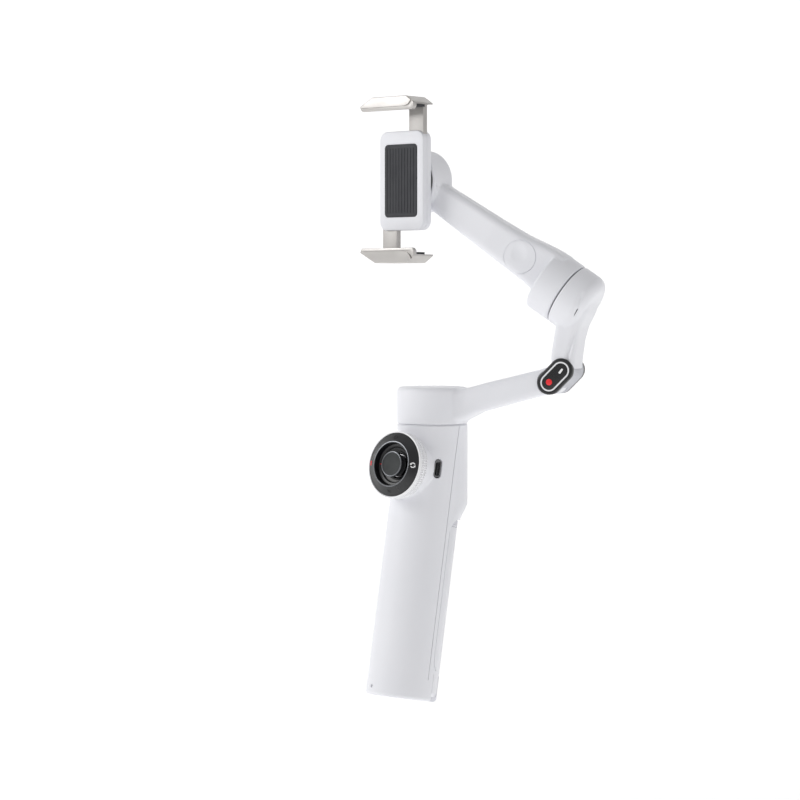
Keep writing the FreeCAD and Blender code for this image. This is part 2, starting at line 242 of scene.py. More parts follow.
def wrappedPlate(name, azimuths, heights, corner, radii, place, edge=0.0, step=1.4):
    # a rounded plate cut into narrow strips and laid round the axis; azimuth 0 faces the thumb, 90 the right
    girth, inner, outer = 18.0, min(radii), max(radii)
    width, height = math.radians(azimuths[1] - azimuths[0]) * girth, heights[1] - heights[0]
    corners = corner if isinstance(corner, tuple) else (corner,) * 4
    depths = [(0.0, inner), (0.0, outer)]
    if edge:
        depths = [(edge, inner), (0.0, inner + edge), (0.0, outer - edge), (edge * 0.3, outer - edge * 0.3),
                  (edge, outer)]
    rings = []
    for inset, depth in depths:
        radius = tuple(max(c - inset, 0.2) for c in corners)
        rings.append(roundedRing(width - 2 * inset, height - 2 * inset, radius, depth))
    plate = loft(name, rings)
    focus(plate)
    bpy.ops.object.mode_set(mode="EDIT")
    count = int(width / step)
    for index in range(1, count):
        bpy.ops.mesh.select_all(action="SELECT")
        bpy.ops.mesh.bisect(plane_co=((-width / 2 + width * index / count + 0.013) * mm, 0, 0),
                            plane_no=(1, 0, 0))
    bpy.ops.object.mode_set(mode="OBJECT")
    middle, lift = math.radians(sum(azimuths) / 2), sum(heights) / 2 * mm
    for vertex in plate.data.vertices:
        turn, radius = middle + vertex.co.x / (girth * mm), vertex.co.z
        vertex.co = (radius * math.sin(turn), -radius * math.cos(turn), lift + vertex.co.y)
    focus(plate)
    bpy.ops.object.mode_set(mode="EDIT")
    bpy.ops.mesh.select_all(action="SELECT")
    bpy.ops.mesh.normals_make_consistent(inside=False)
    bpy.ops.object.mode_set(mode="OBJECT")
    return settle(plate, place)


def azimuthFrame(azimuth, height):
    # X along the girth, Y up the grip, Z straight out of its side
    return (gripFrame @ moved(0, 0, height) @ rotated(azimuth, "Z")
            @ rotated(90, "X"))


def joined(name, pieces):
    focus(pieces[0])
    for piece in pieces[1:]:
        piece.select_set(True)
    bpy.ops.object.join()
    return newest(name)


def evenPill(length, radius, z, count, ripple=0.0):
    # points at equal spacing round a pill, every other pair let in by the ripple
    straight = length - 2 * radius
    around = 2 * straight + 2 * math.pi * radius
    ring = []
    for index in range(count):
        s = around * index / count
        r = radius - (ripple if index % 4 > 1 else 0.0)
        if s < straight:
            ring.append((-straight / 2 + s, -r, z))
        elif s < straight + math.pi * radius:
            a = -math.pi / 2 + (s - straight) / radius
            ring.append((straight / 2 + r * math.cos(a), r * math.sin(a), z))
        elif s < 2 * straight + math.pi * radius:
            ring.append((straight / 2 - (s - straight - math.pi * radius), r, z))
        else:
            a = math.pi / 2 + (s - 2 * straight - math.pi * radius) / radius
            ring.append((-straight / 2 + r * math.cos(a), r * math.sin(a), z))
    return ring


def ribbedRing(radius, depth, z, ribs):
    ring = []
    for index in range(ribs * 4):
        a = 2 * math.pi * index / (ribs * 4)
        r = radius - (depth if index % 4 > 1 else 0.0)
        ring.append((r * math.cos(a), r * math.sin(a), z))
    return ring


def dress(piece, finish, body=None, stands=()):
    piece.data.materials.clear()
    piece.data.materials.append(finish)
    if body:
        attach(piece, body)
    if stands:
        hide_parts(*stands)
    return piece


# finishes

def linear(hexColour, alpha=1.0):
    value = hexColour.lstrip("#")
    parts = [int(value[i:i + 2], 16) / 255 for i in (0, 2, 4)]
    return tuple(c / 12.92 if c <= 0.04045 else ((c + 0.055) / 1.055) ** 2.4 for c in parts) + (alpha,)


def addNode(tree, kind, settings=None, links=None):
    node = tree.nodes.new(kind)
    for key, value in (settings or {}).items():
        if key in node.inputs:
            node.inputs[key].default_value = value
        else:
            setattr(node, key, value)
    for key, source in (links or {}).items():
        tree.links.new(source, node.inputs[key])
    return node


def newFinish(name):
    finish = bpy.data.materials.new(name)
    finish.use_nodes = True
    tree = finish.node_tree
    shader = tree.nodes["Principled BSDF"]
    place = addNode(tree, "ShaderNodeTexCoord")
    return finish, tree, shader, place.outputs["Object"]


def grained(name, colour, drift, roughness, roughDrift, grain, depth, metallic=0.0, coat=0.0, ior=None):
    # colour drifts in broad clouds, roughness in finer ones; the bump is grain mm wide and depth mm deep
    finish, tree, shader, spot = newFinish(name)
    clouds = addNode(tree, "ShaderNodeTexNoise", {"Scale": 38.0, "Detail": 3.0, "Roughness": 0.55},
                     {"Vector": spot})
    mix = addNode(tree, "ShaderNodeMix", {"data_type": "RGBA"})
    mix.inputs["A"].default_value = linear(colour)
    mix.inputs["B"].default_value = linear(drift)
    tree.links.new(clouds.outputs["Fac"], mix.inputs["Factor"])
    tree.links.new(mix.outputs["Result"], shader.inputs["Base Color"])
    rub = addNode(tree, "ShaderNodeTexNoise", {"Scale": 160.0, "Detail": 4.0}, {"Vector": spot})
    limits = {"From Min": 0.3, "From Max": 0.7, "To Min": roughness - roughDrift, "To Max": roughness + roughDrift}
    span = addNode(tree, "ShaderNodeMapRange", limits, {"Value": rub.outputs["Fac"]})
    tree.links.new(span.outputs["Result"], shader.inputs["Roughness"])
    pits = addNode(tree, "ShaderNodeTexNoise", {"Scale": 1.0 / (grain * mm), "Detail": 2.0}, {"Vector": spot})
    bump = addNode(tree, "ShaderNodeBump", {"Strength": 0.5, "Distance": depth * mm},
                   {"Height": pits.outputs["Fac"]})
    tree.links.new(bump.outputs["Normal"], shader.inputs["Normal"])
    shader.inputs["Metallic"].default_value = metallic
    if coat:
        shader.inputs["Coat Weight"].default_value = coat
        shader.inputs["Coat Roughness"].default_value = 0.12
    if ior:
        shader.inputs["IOR"].default_value = ior
    return finish


# moulded ABS blend with a fine spark-eroded texture: soft wide highlights
whiteShell = grained("mouldedWhiteAbs", "#F1F1F5", "#EAEBF0", 0.46, 0.05, 0.45, 0.010, ior=1.49)
# the same blend from a polished tool: brighter, tighter highlights
whiteGloss = grained("polishedWhiteAbs", "#F6F6F8", "#F1F1F4", 0.27, 0.04, 0.8, 0.004, ior=1.49)
# slightly greyer moulding of the hinge barrel
greyShell = grained("mouldedGreyAbs", "#CFD0D6", "#C8C9D0", 0.42, 0.05, 0.45, 0.010, ior=1.49)
# black polycarbonate, satin
blackSatin = grained("satinBlackPolycarbonate", "#0F1013", "#141519", 0.33, 0.06, 0.30, 0.008, ior=1.58)
# black polycarbonate window, polished
blackGloss = grained("polishedBlackPolycarbonate", "#0B0B0E", "#101014", 0.12, 0.03, 1.2, 0.002, coat=0.4,
                     ior=1.58)
# thumb stick: matte elastomer skin with a coarse grip grain
stickRubber = grained("grainedStickElastomer", "#2A2E2F", "#222526", 0.58, 0.06, 0.35, 0.05, ior=1.5)
# nitrile rubber of the clamp's pads and the stick's boot
padRubber = grained("mouldedNitrileRubber", "#3C3D41", "#343539", 0.72, 0.06, 0.5, 0.03, ior=1.52)
# pale thermoplastic rubber of the feet
footRubber = grained("mouldedPaleRubber", "#E2E3E8", "#DADBE1", 0.62, 0.05, 0.5, 0.02, ior=1.5)
# aluminium, glass-bead blasted then clear anodised: even, warm grey, fine sparkle
jawMetal = grained("blastedAnodisedAluminium", "#C6C3C0", "#BEBBB8", 0.38, 0.06, 0.25, 0.012, metallic=0.82)
# aluminium tube, drawn and clear anodised
poleMetal = grained("drawnAnodisedAluminium", "#C2C3C6", "#BBBCC0", 0.30, 0.06, 0.4, 0.006, metallic=0.95)
# satin nickel plate on the panel's trim rings
rimMetal = grained("satinNickelRim", "#85878B", "#7C7E82", 0.30, 0.05, 0.8, 0.003, metallic=0.9)
# stainless steel, turned
steelFinish = grained("turnedStainlessSteel", "#B9B9BB", "#AEAEB1", 0.28, 0.07, 0.3, 0.008, metallic=1.0)
# brass, machined
brassFinish = grained("machinedBrass", "#C9A55C", "#BE9A52", 0.26, 0.06, 0.3, 0.006, metallic=1.0)
# stacked silicon steel of the motors
ironFinish = grained("stackedSiliconSteel", "#6E6F73", "#626368", 0.42, 0.08, 0.35, 0.02, metallic=0.9)
# glass-fibre board under green solder mask
boardFinish = grained("solderMaskedBoard", "#0E4A2E", "#0B3F27", 0.35, 0.05, 0.6, 0.01, ior=1.5)
# shrink sleeve round the cells
cellFinish = grained("shrunkCellSleeve", "#22466E", "#1D3D61", 0.33, 0.05, 0.9, 0.01, ior=1.5)
# clear red lens, and inks laid on with a pad
redPaint = grained("redLampLens", "#F52B33", "#EE2029", 0.25, 0.04, 0.6, 0.002, coat=0.3, ior=1.5)
whitePaint = grained("whitePadPrint", "#F7F7F7", "#F0F0F1", 0.40, 0.04, 0.4, 0.003, ior=1.5)
greyPaint = grained("greyPadPrint", "#A9ACB3", "#A2A5AC", 0.45, 0.04, 0.4, 0.003, ior=1.5)
darkPaint = grained("darkPadPrint", "#050507", "#08080A", 0.45, 0.04, 0.4, 0.003, ior=1.5)
print("finishes ready")


# lower arm: pan housing and rising bar
lowerArm = dict(radius=18.7, low=-12.35, top=7.1, edge=2.4, roof=3.4, pocket=5.05, thick=19.0, corner=3.6)


def barRing(p, low, high, thick, corner, lean=0.0):
    # a rounded section in the plane p, from low to high, thick across the arm; lean tips its top outwards
    flat = roundedRing(high - low, thick, corner, 0.0)
    middle = (high + low) / 2
    return [(p + lean * x, y, middle + x) for x, y, z in flat]


def makeLowerArm(d):
    r, e = d["radius"], d["edge"]
    corner = [(r - e + e * math.cos(a), d["top"] - e + e * math.sin(a))
              for a in [math.pi / 2 * i / 6 for i in range(7)]]
    can = lathe("lower_arm_shell", [(r - 0.4, d["low"]), (r, d["low"] + 0.4)] + corner, count=fine)
    t, c = d["thick"], d["corner"]
    bar = loft("bar", [
        barRing(4.0, -12.0, 6.5, t + 4, c),
        barRing(15.0, -11.9, 6.5, t + 3.5, c),
        barRing(17.5, -11.2, 6.5, t + 1.6, c, 0.05),
        barRing(21.0, -9.7, 7.0, t + 0.4, c, 0.1),
        barRing(28.9, -6.0, 9.4, t, c, 0.2),
        barRing(46.0, -1.2, 13.5, t, c, 0.2),
        barRing(60.0, 2.7, 16.8, t, c, 0.1),
        barRing(65.4, 4.2, 18.2, t, c),
    ])
    weld(can, bar)
    melt(can, 0.5, 7)
    hollow = lathe("hollow", [(16.2, -30.0), (16.2, d["roof"])], count=fine)
    lid = lathe("lid", [(16.1, d["pocket"]), (16.1, 12.0)], count=fine)
    pinPlace = moved(elbowPin[0], 0, elbowPin[1]) @ rotated(-90, "X")
    clearance = lathe("clearance", [(6.75, -15.0), (6.75, 15.0)], pinPlace, 64)
    cut(can, hollow, lid, clearance)
    eye = lathe("eye", [(5.5, -5.0), (5.9, -4.6), (5.9, 4.6), (5.5, 5.0)], pinPlace, 64)
    tongue = loft("tongue", [barRing(57.0, 7.2, 13.3, 10.0, 0.6), barRing(elbowPin[0], 7.2, 13.3, 10.0, 0.6)])
    weld(can, tongue)
    weld(can, eye)
    return smooth(settle(can, armFrame), 30)


lowerShell = makeLowerArm(lowerArm)
dress(lowerShell, whiteShell, "lower_arm", ["lower_arm"])
print("lower arm done")


# upper arm: bar from the elbow and the fixed half of the tilt motor
upperArm = dict(radius=16.75, depth=15.0, edge=6.0, thick=20.0, corner=3.2)


def levelRing(z, left, right, thick, corner):
    # a rounded level section, from left to right in the plane of the arm
    return roundedRing(right - left, thick, corner, z, (left + right) / 2)


inMotor = armFrame.inverted() @ motorFrame


def makeUpperArm(d):
    r, e, depth = d["radius"], d["edge"], d["depth"]
    back = [(0.6, -depth)]
    back += [(r - e + e * math.sin(a), -depth + e - e * math.cos(a))
             for a in [math.pi / 2 * i / 8 for i in range(9)]]
    can = lathe("upper_arm_shell", back + [(r, -0.7), (r - 0.35, -0.3)], inMotor, fine)
    t, c = d["thick"], d["corner"]
    bar = loft("bar", [
        levelRing(13.0, 69.5, 79.0, t - 0.6, c),
        levelRing(18.0, 67.6, 79.9, t - 0.2, c),
        levelRing(23.9, 67.3, 80.4, t, c),
        levelRing(32.0, 68.6, 81.6, t, c),
        levelRing(38.9, 69.9, 83.4, t + 1, c),
        levelRing(46.0, 70.5, 87.0, t + 3, c + 1),
        levelRing(52.0, 72.5, 89.0, t + 4, c + 2),
    ])
    weld(can, bar)
    # the valley between the front of the arm and the strip folded over its side: arm place, height, bottom
    path = ((76.2, 10.0, -8.8), (76.9, 24.0, -8.8), (80.2, 34.0, -8.7), (82.0, 42.0, -11.2),
            (83.2, 46.5, -14.2), (84.2, 49.5, -15.2), (86.6, 57.5, -14.4))
    valley = []
    for p, z, low in path:
        outline = ((-2.0, -22.0), (2.0, -22.0), (1.3, low - 1.2), (0.35, low), (-0.35, low), (-1.3, low - 1.2))
        valley.append([(p + side, y, z) for side, y in outline])
    cut(can, loft("valley", valley))
    melt(can, 0.45, 8)
    hollow = lathe("hollow", [(motorBore, -12.8), (motorBore, 8.0)], inMotor, fine)
    face = lathe("face", [(40.0, -0.3), (40.0, 40.0)], inMotor, 32)
    barrelPlace = moved(barrelSpot[0], 0, barrelSpot[1]) @ rotated(-45, "Y") @ rotated(-90, "X")
    barrelCut = loft("barrelCut", [pillRing(21.5, 6.3, -14.0), pillRing(21.5, 6.3, 14.0)], barrelPlace)
    cut(can, hollow, face, barrelCut)
    return smooth(settle(can, armFrame), 30)


upperShell = makeUpperArm(upperArm)
dress(upperShell, whiteShell, "upper_arm", ["upper_arm"])
print("upper arm done")


# third arm: turning half of the tilt motor, the neck and the housing behind the clamp
thirdArm = dict(radius=16.75, rim=14.0, rollRadius=16.5, thumb=19.2, seam=(8.5, 8.9))


def neckRing(z, low, high, w0, w1, corner):
    flat = roundedRing(high - low, w1 - w0, corner, z)
    return [((high + low) / 2 + x, (w0 + w1) / 2 + y, z) for x, y, z in flat]


def makeThirdArm(d):
    r, rim = d["radius"], d["rim"]
    can = lathe("third_arm_shell",
                [(r - 0.35, 0.3), (r, 0.7), (r, rim - 0.9), (r - 0.25, rim - 0.25), (r - 0.9, rim)],
                motorFrame, fine)
    neck = loft("neck", [
        neckRing(9.0, -9.0, 16.3, -9.5, 9.5, 3.5),
        neckRing(15.0, -7.8, 16.2, -9.2, 9.2, 3.5),
        neckRing(22.0, -6.9, 15.4, -9.0, 9.0, 3.5),
        neckRing(34.0, -6.4, 13.4, -9.0, 9.0, 3.5),
        neckRing(50.0, -6.0, 12.2, -7.6, 9.6, 3.5),
        neckRing(70.0, -5.8, 11.0, -3.6, 11.4, 3.5),
        neckRing(88.0, -5.6, 9.8, 0.6, 14.0, 3.5),
        neckRing(100.0, -5.4, 9.2, 2.8, 15.0, 3.5),
    ], motorFrame)
    rr = d["rollRadius"]
    rollPlace = clampFrame @ rotated(-90, "X")
    rollCan = lathe("rollCan", [(rr - 0.4, -2.2), (rr, -1.8), (rr, 11.6), (rr - 0.7, 13.2), (rr - 2.3, 13.8)],
                    rollPlace, fine)
    weld(can, neck)
    weld(can, rollCan)
    crease = ((12.0, 13.2, -9.2), (18.0, 12.9, -9.1), (24.0, 12.4, -9.0), (34.0, 11.4, -9.0),
              (50.0, 10.2, -7.6), (70.0, 9.0, -3.6), (88.0, 7.8, 0.6), (101.0, 7.2, 2.8))
    groove = [[(x - 0.6, w - 3.0, z), (x + 0.6, w - 3.0, z), (x + 0.2, w + 0.75, z), (x - 0.2, w + 0.75, z)]
              for z, x, w in crease]
    cut(can, loft("crease", groove, motorFrame))
    ball, turns = d["thumb"], [math.pi * i / 24 for i in range(1, 24)]
    cut(can, lathe("dimple", [(ball * math.sin(a), -ball * math.cos(a)) for a in turns],
                   motorFrame @ moved(4.5, -27.6, 31.0), 64))
    melt(can, 0.5, 7)
    front = motorFrame @ moved(3.1, 0, 29.6) @ rotated(90, "X")
    cut(can, ringCutter("seam", *d["seam"], (8.45, 12.0), front))
    inner = lathe("inner", [(motorBore, -6.0), (motorBore, 6.0)], motorFrame, fine)
    rollInner = lathe("rollInner", [(motorBore, -8.0), (motorBore, 12.0)], rollPlace, fine)
    cut(can, inner, rollInner)
    return smooth(can, 30)


thirdShell = makeThirdArm(thirdArm)
dress(thirdShell, whiteShell, "third_arm", ["third_arm"])
print("third arm done")


# grip: two shells cut from one body with the panel neck and the hump behind it
grip = dict(radius=18.5, wall=1.8, top=141.75, bend=132.7, lid=2.0, low=11.0, split=84.0, gap=0.5,
            recess=(92, 268), recessHeights=(13.6, 96.2), recessCorner=9.0, port=(54.3, 120.0),
            button=(-62, 108.0), swing=97.0)
humpCircles = [(88.0, 17.1), (93.5, 20.4), (97.0, 23.4), (100.0, 25.7), (145.0, 25.7)]


def legSlots(d):
    side = gripFrame @ rotated(d["swing"] - 180, "Z")
    other = gripFrame @ rotated(180 - d["swing"], "Z")
    return [block("slot", (-7.5, 0.2), (12.0, 22.0), (-1, 14.2), side),
            block("slot", (-0.2, 7.5), (12.0, 22.0), (-1, 14.2), other),
            block("slot", (-3.9, 3.9), (12.0, 22.0), (-1, 14.2), gripFrame)]


def makeGrip(d):
    body = lathe("gripBody", [(d["radius"], 8.0), (d["radius"], 150.0)], gripFrame, fine)
    cut(body, block("bend", (-60, 60), (-60, 90), (d["bend"], 190)))
    hump = loft("hump", [circleRing(18.6, z, fine, 0, y) for z, y in humpCircles])
    neck = lathe("neck", [(13.2, 6.2), (15.0, 17.0), (15.6, 21.4), (15.3, 22.0)], panelFrame)
    weld(body, hump, neck)
    melt(body, 0.6, 8)
    cut(body, block("above", (-60, 60), (-60, 90), (d["top"], 190)))
    cavity = lathe("cavity", [(d["radius"] - d["wall"], 98.0), (d["radius"] - d["wall"], 160.0)], gripFrame)
    cut(cavity, block("bend", (-60, 60), (-60, 90), (d["bend"], 190)))
    weld(cavity, lathe("humpCavity", [(16.9, 103.0), (16.9, 160.0)], panAxis))
    cut(cavity, block("above", (-60, 60), (-60, 90), (d["top"] - d["lid"], 190)))
    poleHole = lathe("poleHole", [(6.9, 100), (6.9, 160)], polePlace)

    front = copyOf(body, "grip_front_shell")
    low, high = -d["split"] + d["gap"], d["split"] - d["gap"]
    keepCommon(front, loft("wedge", [sectorRing(60, (low, high), z) for z in (d["low"], 160)], gripFrame))
    frontCavity = lathe("frontCavity", [(16.7, 0), (16.7, 99)], gripFrame)
    quarter = rotated(90, "Z")
    port = loft("port", [pillRing(10.0, 1.95, 10), pillRing(10.0, 1.95, 17.9), pillRing(11.4, 2.65, 19.2)],
                azimuthFrame(*d["port"]) @ quarter)
    button = lathe("button", [(3.3, 12), (3.3, 17.9), (4.0, 19.0)], azimuthFrame(*d["button"]), 64)
    neckHole = lathe("neckHole", [(12.2, 5), (12.2, 30)], panelFrame)
    cut(front, copyOf(cavity, "cavityTwin"), frontCavity, copyOf(poleHole, "poleTwin"), neckHole, port,
        button)

    back = copyOf(body, "grip_back_shell")
    bpy.data.objects.remove(body)
    low, high = d["split"] + d["gap"], 360 - d["split"] - d["gap"]
    keepCommon(back, loft("wedge", [sectorRing(60, (low, high), z) for z in (d["low"], 160)], gripFrame))
    recess = wrappedPlate("recess", d["recess"], d["recessHeights"], d["recessCorner"], (14.0, 40.0),
                          gripFrame)
    core = lathe("core", [(12.4, 0), (12.4, 102)], gripFrame)
    window = loft("window", [roundedRing(12.8, 21.2, 1.6, depth) for depth in (8.0, 30.0)],
                  frameOf((0, panPoint.y, 114.0 * mm), (0, 1, 0), (1, 0, 0)))
    cut(back, recess, core, cavity, poleHole, window, *legSlots(d))
    return smooth(front, 30), smooth(back, 30)


frontShell, backShell = makeGrip(grip)
dress(frontShell, whiteShell, "grip", ["grip_front", "panel_neck"])
dress(backShell, whiteShell, "grip", ["grip_back"])
print("grip shells done")


# base: cup with leg pockets, the cord hole and the threaded insert
base = dict(radius=18.5, round=1.8, top=11.0, hole=4.6, cord=(-19, 4.5), thread=(2.6, 3.15, 1.27))


def makeBase(d):
    r, e = d["radius"], d["round"]
    turn = [math.pi / 2 * i / 8 for i in range(9)]
    cup = lathe("base_cup_shell",
                [(r - e + e * math.sin(a), e - e * math.cos(a)) for a in turn] + [(r, d["top"])],
                gripFrame, finest)
    hole = lathe("hole", [(d["hole"] + 0.4, -1.0), (d["hole"] + 0.4, 0.15), (d["hole"], 0.5),
                          (d["hole"], 10.0)], gripFrame, 64)
    ring = ringCutter("ring", 11.2, 12.0, (-1.0, 0.45), gripFrame)
    cord = lathe("cord", [(0.85, 14.5), (0.85, 18.0), (1.25, 19.0)], azimuthFrame(*d["cord"]), 32)
    pins = []
    for turned, side in ((grip["swing"] - 180, -1), (180 - grip["swing"], 1)):
        place = gripFrame @ rotated(turned, "Z") @ moved(0, *legPin) @ rotated(90 * side, "Y")
        pins.append(lathe("pin", [(1.1, -3.0), (1.1, 14.0)], place, 32))
    pole = lathe("pole", [(6.8, 10.0), (6.8, 12.0)], polePlace, 64)
    cut(cup, hole, ring, cord, pole, *pins, *legSlots(grip))
    return smooth(cup, 30)


def makeInsert(d):
    # the thread is a screw-shaped core cut out of the brass
    small, large, pitch = d["thread"]
    insert = lathe("thread_insert_cut", [(4.1, 0.02), (4.6, 0.5), (4.6, 10.0)], gripFrame, 64)
    rings = []
    for level in range(-8, 84):
        z = level * 0.125
        ring = []
        for index in range(40):
            turn = index / 40
            phase = (z / pitch - turn) % 1.0
            r = small + (large - small) * (1 - abs(2 * phase - 1))
            ring.append((r * math.cos(2 * math.pi * turn), r * math.sin(2 * math.pi * turn), z))
        rings.append(ring)
    return smooth(cut(insert, loft("screwCore", rings, gripFrame)), 30)


dress(makeBase(base), whiteShell, "grip", ["base_cup"])
dress(makeInsert(base), brassFinish, "grip", ["thread_insert"])
print("base done")


# legs and their rubber feet
legs = dict(radii=(14.3, 18.4), heights=(14.4, 91.5), foot=(91.55, 95.5), edge=0.4, big=8.6, small=1.2,
            eye=2.2, bore=1.16)


def knuckle(x, turned):
    start, steps, eye = 98, 20, legs["eye"]
    arc = [math.radians(start + (360 - start) * i / steps) for i in range(steps + 1)]
    outline = [(legPin[0] + eye * math.cos(a), legPin[1] + eye * math.sin(a)) for a in arc]
    outline += [(20, 4.5), (20, 16.0), (14.3, 16.0)]
    place = gripFrame @ rotated(turned, "Z")
    piece = loft("knuckle", [[(cx, y, z) for y, z in outline] for cx in x], place)
    keepCommon(piece, lathe("limit", [(legs["radii"][1], 0), (legs["radii"][1], 30)], gripFrame, finest))
    bore = lathe("bore", [(legs["bore"], -12), (legs["bore"], 12)], place @ moved(0, *legPin)
                 @ rotated(90, "Y"), 32)
    return piece, bore


def makeLeg(side, azimuths, x, turned, lowCorners, highCorners):
    d = legs
    leg = wrappedPlate("leg_%s_shell" % side, azimuths, d["heights"], lowCorners, d["radii"], gripFrame,
                       d["edge"])
    pocket = wrappedPlate("pocket", (azimuths[0] + 6, azimuths[1] - 6), (24, 84), 2.5, (13.0, 15.6),
                          gripFrame)
    cut(leg, pocket)
    tongue, bore = knuckle(x, turned)
    weld(leg, tongue)
    cut(leg, bore)
    foot = wrappedPlate("foot_%s_pad" % side, azimuths, d["foot"], highCorners, d["radii"], gripFrame, 0.45)
    for z in (92.7, 93.7, 94.6):
        cut(foot, ringCutter("rib", 18.05, 22, (z, z + 0.35), gripFrame))
    dress(smooth(leg, 30), whiteShell, "leg_" + side, ["leg_" + side])
    dress(smooth(foot, 30), footRubber, "leg_" + side, ["foot_" + side])


big, small = legs["big"], legs["small"]
makeLeg("right", (93.4, 146.4), (-7.1, -0.2), grip["swing"] - 180, (0.3, 0.3, big, small),
        (small, 3.6, 0.3, 0.3))
makeLeg("left", (213.6, 266.6), (0.2, 7.1), 180 - grip["swing"], (0.3, 0.3, small, big),
        (3.6, small, 0.3, 0.3))
makeLeg("center", (149.6, 210.4), (-3.5, 3.5), 0, (0.3, 0.3, small, small), (small, small, 0.3, 0.3))
print("legs done")


# zoom wheel with two rows of fine ribs
wheel = dict(inner=13.1, outer=17.5, lip=16.75, low=22.5, face=27.1, top=28.5, ribs=88, depth=0.6)


def makeWheel(d):
    r, n, deep = d["outer"], d["ribs"], d["depth"]
    low, top, band = d["low"], d["top"], r - 0.12
    levels = [(r - 0.5, 0, low), (band, 0, low + 0.25), (band, deep, low + 0.45), (band, deep, 24.55),
              (band, 0, 24.7), (band, 0, 25.0), (band, deep, 25.15), (band, deep, 26.95), (band, 0, 27.1),
              (r, 0, 27.3), (r, 0, top - 0.25), (r - 0.1, 0, top - 0.07), (r - 0.25, 0, top)]
    ring = loft("zoom_wheel_ring", [ribbedRing(radius, ripple, z, n) for radius, ripple, z in levels],
                panelFrame)
    inner, lip, face = d["inner"], d["lip"], d["face"]
    bore = lathe("bore", [(inner, 20), (inner, face), (16.2, face + 0.02), (lip, face + 0.5), (lip, 30)],
                 panelFrame, fine)
    return smooth(cut(ring, bore), 30)


dress(makeWheel(wheel), whiteGloss, "zoom_wheel", ["zoom_wheel"])
print("zoom wheel done")


# control panel: a low cone with a stepped well, a metal ring and printed marks
panel = dict(radius=16.5, hole=6.85, pinHole=0.86, pinHeight=23)
slopeFoot, slopeHead = (16.1, 28.62), (12.05, 31.02)  # radius and height of the cone
panelSlope = math.atan2(slopeHead[1] - slopeFoot[1], slopeFoot[0] - slopeHead[0])


def makePanel(d):
    r = d["radius"]
    profile = [(12.1, 18.3), (12.1, 22.1), (13.0, 22.3), (13.0, 27.1), (r - 0.4, 27.25), (r, 27.5),
               (r, 28.3), (r - 0.12, 28.5), slopeFoot, slopeHead, (11.35, 31.0), (11.2, 30.4),
               (10.9, 28.3), (10.75, 27.85), (10.3, 27.6), (9.5, 27.5), (9.25, 27.3), (9.15, 26.7),
               (8.8, 26.5), (7.5, 26.45), (7.15, 26.3), (7.1, 25.9)]
    disc = lathe("panel_disc_face", profile, panelFrame, finest)
    hole = lathe("hole", [(d["hole"], 12), (d["hole"], 30)], panelFrame)
    pins = lathe("pins", [(d["pinHole"], -9.2), (d["pinHole"], 9.2)], panelFrame @ moved(0, 0, d["pinHeight"])
                 @ rotated(90, "Y"), 24)
    return smooth(cut(disc, hole, pins), 25)


def slopeFrame(turn, radius):
    a = math.radians(turn)
    out = Vector((math.cos(a), math.sin(a), 0))
    height = slopeHead[1] - (radius - slopeHead[0]) * math.tan(panelSlope)
    spot = (out * radius + Vector((0, 0, height))) * mm
    normal = out * math.sin(panelSlope) + Vector((0, 0, math.cos(panelSlope)))
    return panelFrame @ frameOf(spot, normal, (1, 0, 0))


def arcBar(name, radius, turns, wide, heights, place, steps=14):
    a = [math.radians(turns[0] + (turns[1] - turns[0]) * i / steps) for i in range(steps + 1)]
    out = [((radius + wide / 2) * math.cos(t), (radius + wide / 2) * math.sin(t)) for t in a]
    back = [((radius - wide / 2) * math.cos(t), (radius - wide / 2) * math.sin(t)) for t in reversed(a)]
    return loft(name, [[(x, y, z) for x, y in out + back] for z in heights], place)


def arrow(name, radius, turn, size, heights, place):
    a = math.radians(turn)
    tip = (radius * math.cos(a) - size * math.sin(a), radius * math.sin(a) + size * math.cos(a))
    sides = [((radius + s * size * 0.75) * math.cos(a), (radius + s * size * 0.75) * math.sin(a))
             for s in (-1, 1)]
    return loft(name, [[(x, y, z) for x, y in [tip] + sides] for z in heights], place)


def printedMarks():
    thin, tall = (-0.3, 0.13), 1.15
    right = slopeFrame(0, 13.9)
    flip = [arcBar("flip", tall, (25, 145), 0.5, thin, right),
            arcBar("flip", tall, (205, 325), 0.5, thin, right),
            arrow("flip", tall, 145, 0.85, thin, right), arrow("flip", tall, 325, 0.85, thin, right)]
    dress(joined("mark_flip", flip), whitePaint, "grip")
    top = slopeFrame(90, 14.2)
    mode = [arcBar("mode", 1.0, (-40, 220), 0.45, thin, top),
            block("mode", (-0.6, 0.6), (-0.95, -0.5), thin, top)]
    dress(joined("mark_mode", mode), darkPaint, "grip")
    low = slopeFrame(-90, 14.2)
    cross = [block("cross", (-1.2, 1.2), (-0.24, 0.24), thin, low @ rotated(t, "Z")) for t in (35, 145)]
    dress(joined("mark_centre", cross), darkPaint, "grip")
    dress(softEdges(block("mark_record", (-0.85, 0.75), (-1.2, 1.2), (-0.4, 0.16), slopeFrame(180, 15.0)),
                    0.06), redPaint, "grip")
    dress(block("mark_line", (-10.7, -9.3), (-0.16, 0.16), (27.3, 27.7), panelFrame), redPaint, "grip")


wellRing = lathe("panel_ring", [(11.9, 30.8), (11.95, 31.04), (11.85, 31.08), (11.55, 31.08), (11.4, 30.95)],
                 panelFrame, finest)
cut(wellRing, lathe("bore", [(11.3, 29), (11.3, 33)], panelFrame, finest))
dress(makePanel(panel), blackSatin, "grip", ["panel_disc"])
dress(smooth(wellRing, 30), rimMetal, "grip")
printedMarks()
print("control panel done")


